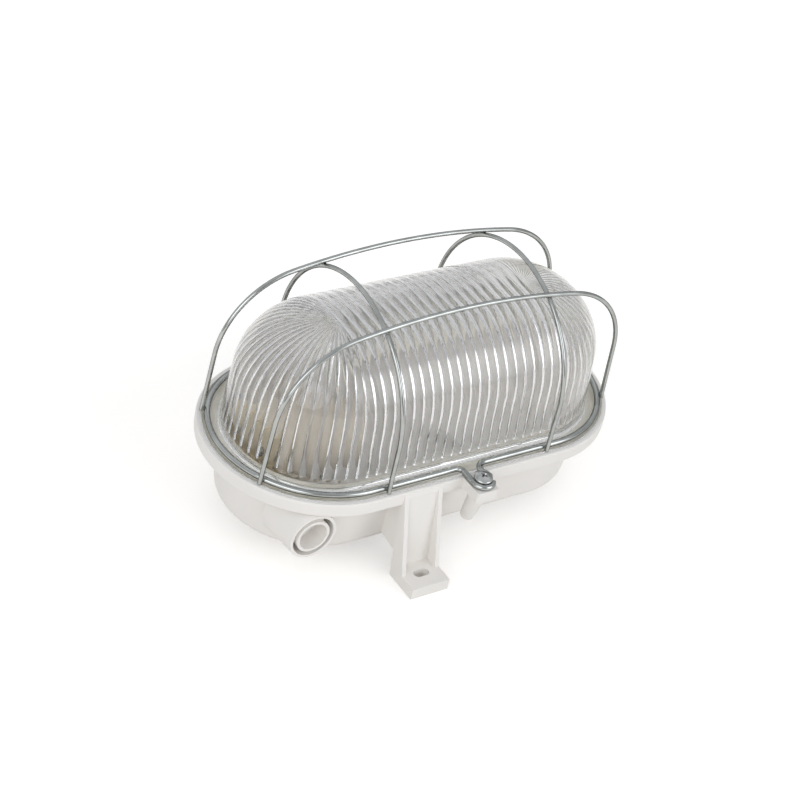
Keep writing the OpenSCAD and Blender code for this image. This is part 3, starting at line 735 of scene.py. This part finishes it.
def thread(r, z, angle):
    """Raises the thread's ridge on the shank."""
    pitch, depth = 1.5, 0.28
    if r != SHANK_R:
        return r
    turn = (z / pitch - angle / (2 * math.pi)) % 1
    ease = min(1, (-z - 0.8) / 2, (z + SCREW_LENGTH - 1.2) / 1.5)
    return r - 0.03 + depth * ease * max(0, 1 - abs(2 * turn - 1) * 1.5)


def cross_cutter():
    """Two crossed, tapered blades that cut the driver recess."""
    points, faces = [], []
    for turn in (0, math.pi / 2):
        c, s = math.cos(turn), math.sin(turn)
        first = len(points)
        for z, length, width in ((0.7, 1.0, 0.28), (2.9, 2.3, 0.5)):
            for x, y in ((-length, -width), (length, -width), (length, width), (-length, width)):
                points.append((x * c - y * s, x * s + y * c, z))
        faces += [tuple(first + i for i in face) for face in (
            (3, 2, 1, 0), (4, 5, 6, 7), (0, 1, 5, 4), (1, 2, 6, 5), (2, 3, 7, 6), (3, 0, 4, 7))]
    return mesh_from("cross_cutter", points, faces)


def make_screw():
    screw = show("lock_screw_zinc", turned("lock_screw_zinc", screw_rows(), 64, thread))
    cutter = show("cross_cutter", cross_cutter())
    cut = screw.modifiers.new("recess", "BOOLEAN")
    cut.object = cutter
    cut.operation = "DIFFERENCE"
    cut.use_self = True
    screw = finished(screw)
    bpy.data.objects.remove(cutter)
    turn = Matrix.Rotation(math.radians(28), 4, "Z")
    head_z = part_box("guard_screw")[1].z - HEAD_H * MM
    screw.data.transform(Matrix.Translation(LOCK * MM + Vector((0, 0, head_z))) @ turn)
    screw.data.shade_smooth()
    screw.data.set_sharp_from_angle(angle=math.radians(35))
    screw.data.materials.clear()
    screw.data.materials.append(ZINC_SCREW)
    dress(screw, "lock_screw", "zinc_screw", "guard_screw")


make_screw()


# Stage and light

# Studio lamps are a little cooler than daylight, and so is all that they light.
STUDIO_WHITE = "#F8FBFF"


def white_floor():
    # Matt white paper: the camera, metal and glass see it a little brighter, its shadow stays.
    made = bpy.data.materials.new("white_paper")
    made.use_nodes = True
    tree = made.node_tree
    tree.nodes.clear()
    path = add(tree, "ShaderNodeLightPath").outputs
    mirrored = add(tree, MATH, {0: path["Is Camera Ray"], 1: path["Is Glossy Ray"]}, operation="MAXIMUM")
    seen = add(tree, MATH, {0: mirrored, 1: path["Is Transmission Ray"]}, operation="MAXIMUM")
    lifted = add(tree, MATH, {0: seen, 1: 0.4}, operation="MULTIPLY")
    paper = add(tree, "ShaderNodeBsdfDiffuse", {"Color": linear("#E8E5E1")})
    lift = add(tree, "ShaderNodeEmission", {"Strength": lifted})
    both = add(tree, "ShaderNodeAddShader", {0: paper, 1: lift})
    add(tree, "ShaderNodeOutputMaterial", {"Surface": both})
    return made


def make_stage():
    far, low = 4000, -0.2
    corners = [(-far, -far, low), (far, -far, low), (far, far, low), (-far, far, low)]
    floor = show("studio_floor", mesh_from("studio_floor", corners, [(0, 1, 2, 3)]))
    floor.data.materials.append(white_floor())


def make_world():
    """A white studio, brightest above and behind, with a broad soft glow at the right front."""
    world = bpy.data.worlds.new("white_studio")
    SCENE.world = world
    world.use_nodes = True
    tree = world.node_tree
    tree.nodes.clear()
    way = add(tree, "ShaderNodeTexCoord").outputs["Generated"]
    above = add(tree, "ShaderNodeVectorMath", {0: way, 1: (0, 0.6, 0.8)}, operation="DOT_PRODUCT")
    walls = add(tree, "ShaderNodeMapRange", {0: above.outputs["Value"], 1: 0.0, 2: 1.0, 3: 0.5, 4: 0.8})
    front = add(tree, "ShaderNodeVectorMath", {0: way, 1: (0.47, -0.78, 0.41)}, operation="DOT_PRODUCT")
    glow = add(tree, "ShaderNodeMapRange", {0: front.outputs["Value"], 1: 0.88, 2: 0.99, 3: 0.0, 4: 2.4},
               interpolation_type="SMOOTHSTEP")
    strength = add(tree, MATH, {0: walls, 1: glow}, operation="ADD")
    sky = add(tree, "ShaderNodeBackground", {"Color": linear(STUDIO_WHITE), "Strength": strength})
    add(tree, "ShaderNodeOutputWorld", {"Surface": sky})


def soft_box(name, place, target, width, height, power):
    data = bpy.data.lights.new(name, "AREA")
    data.shape = "ELLIPSE"
    data.size, data.size_y = width, height
    data.energy = power
    data.color = linear(STUDIO_WHITE)[:3]
    lamp = bpy.data.objects.new(name, data)
    lamp.location = place
    lamp.rotation_euler = (Vector(target) - Vector(place)).to_track_quat("-Z", "Y").to_euler()
    SCENE.collection.objects.link(lamp)


make_stage()
make_world()
soft_box("fill_soft_box", (-1.4, -0.9, 0.85), (0, 0, 0.06), 1.7, 1.3, 11)

SCENE.view_settings.view_transform = "Standard"
# Light is thrown back many times inside the ribs before it leaves the glass.
SCENE.cycles.max_bounces = 64
SCENE.cycles.transmission_bounces = 64
SCENE.cycles.glossy_bounces = 64
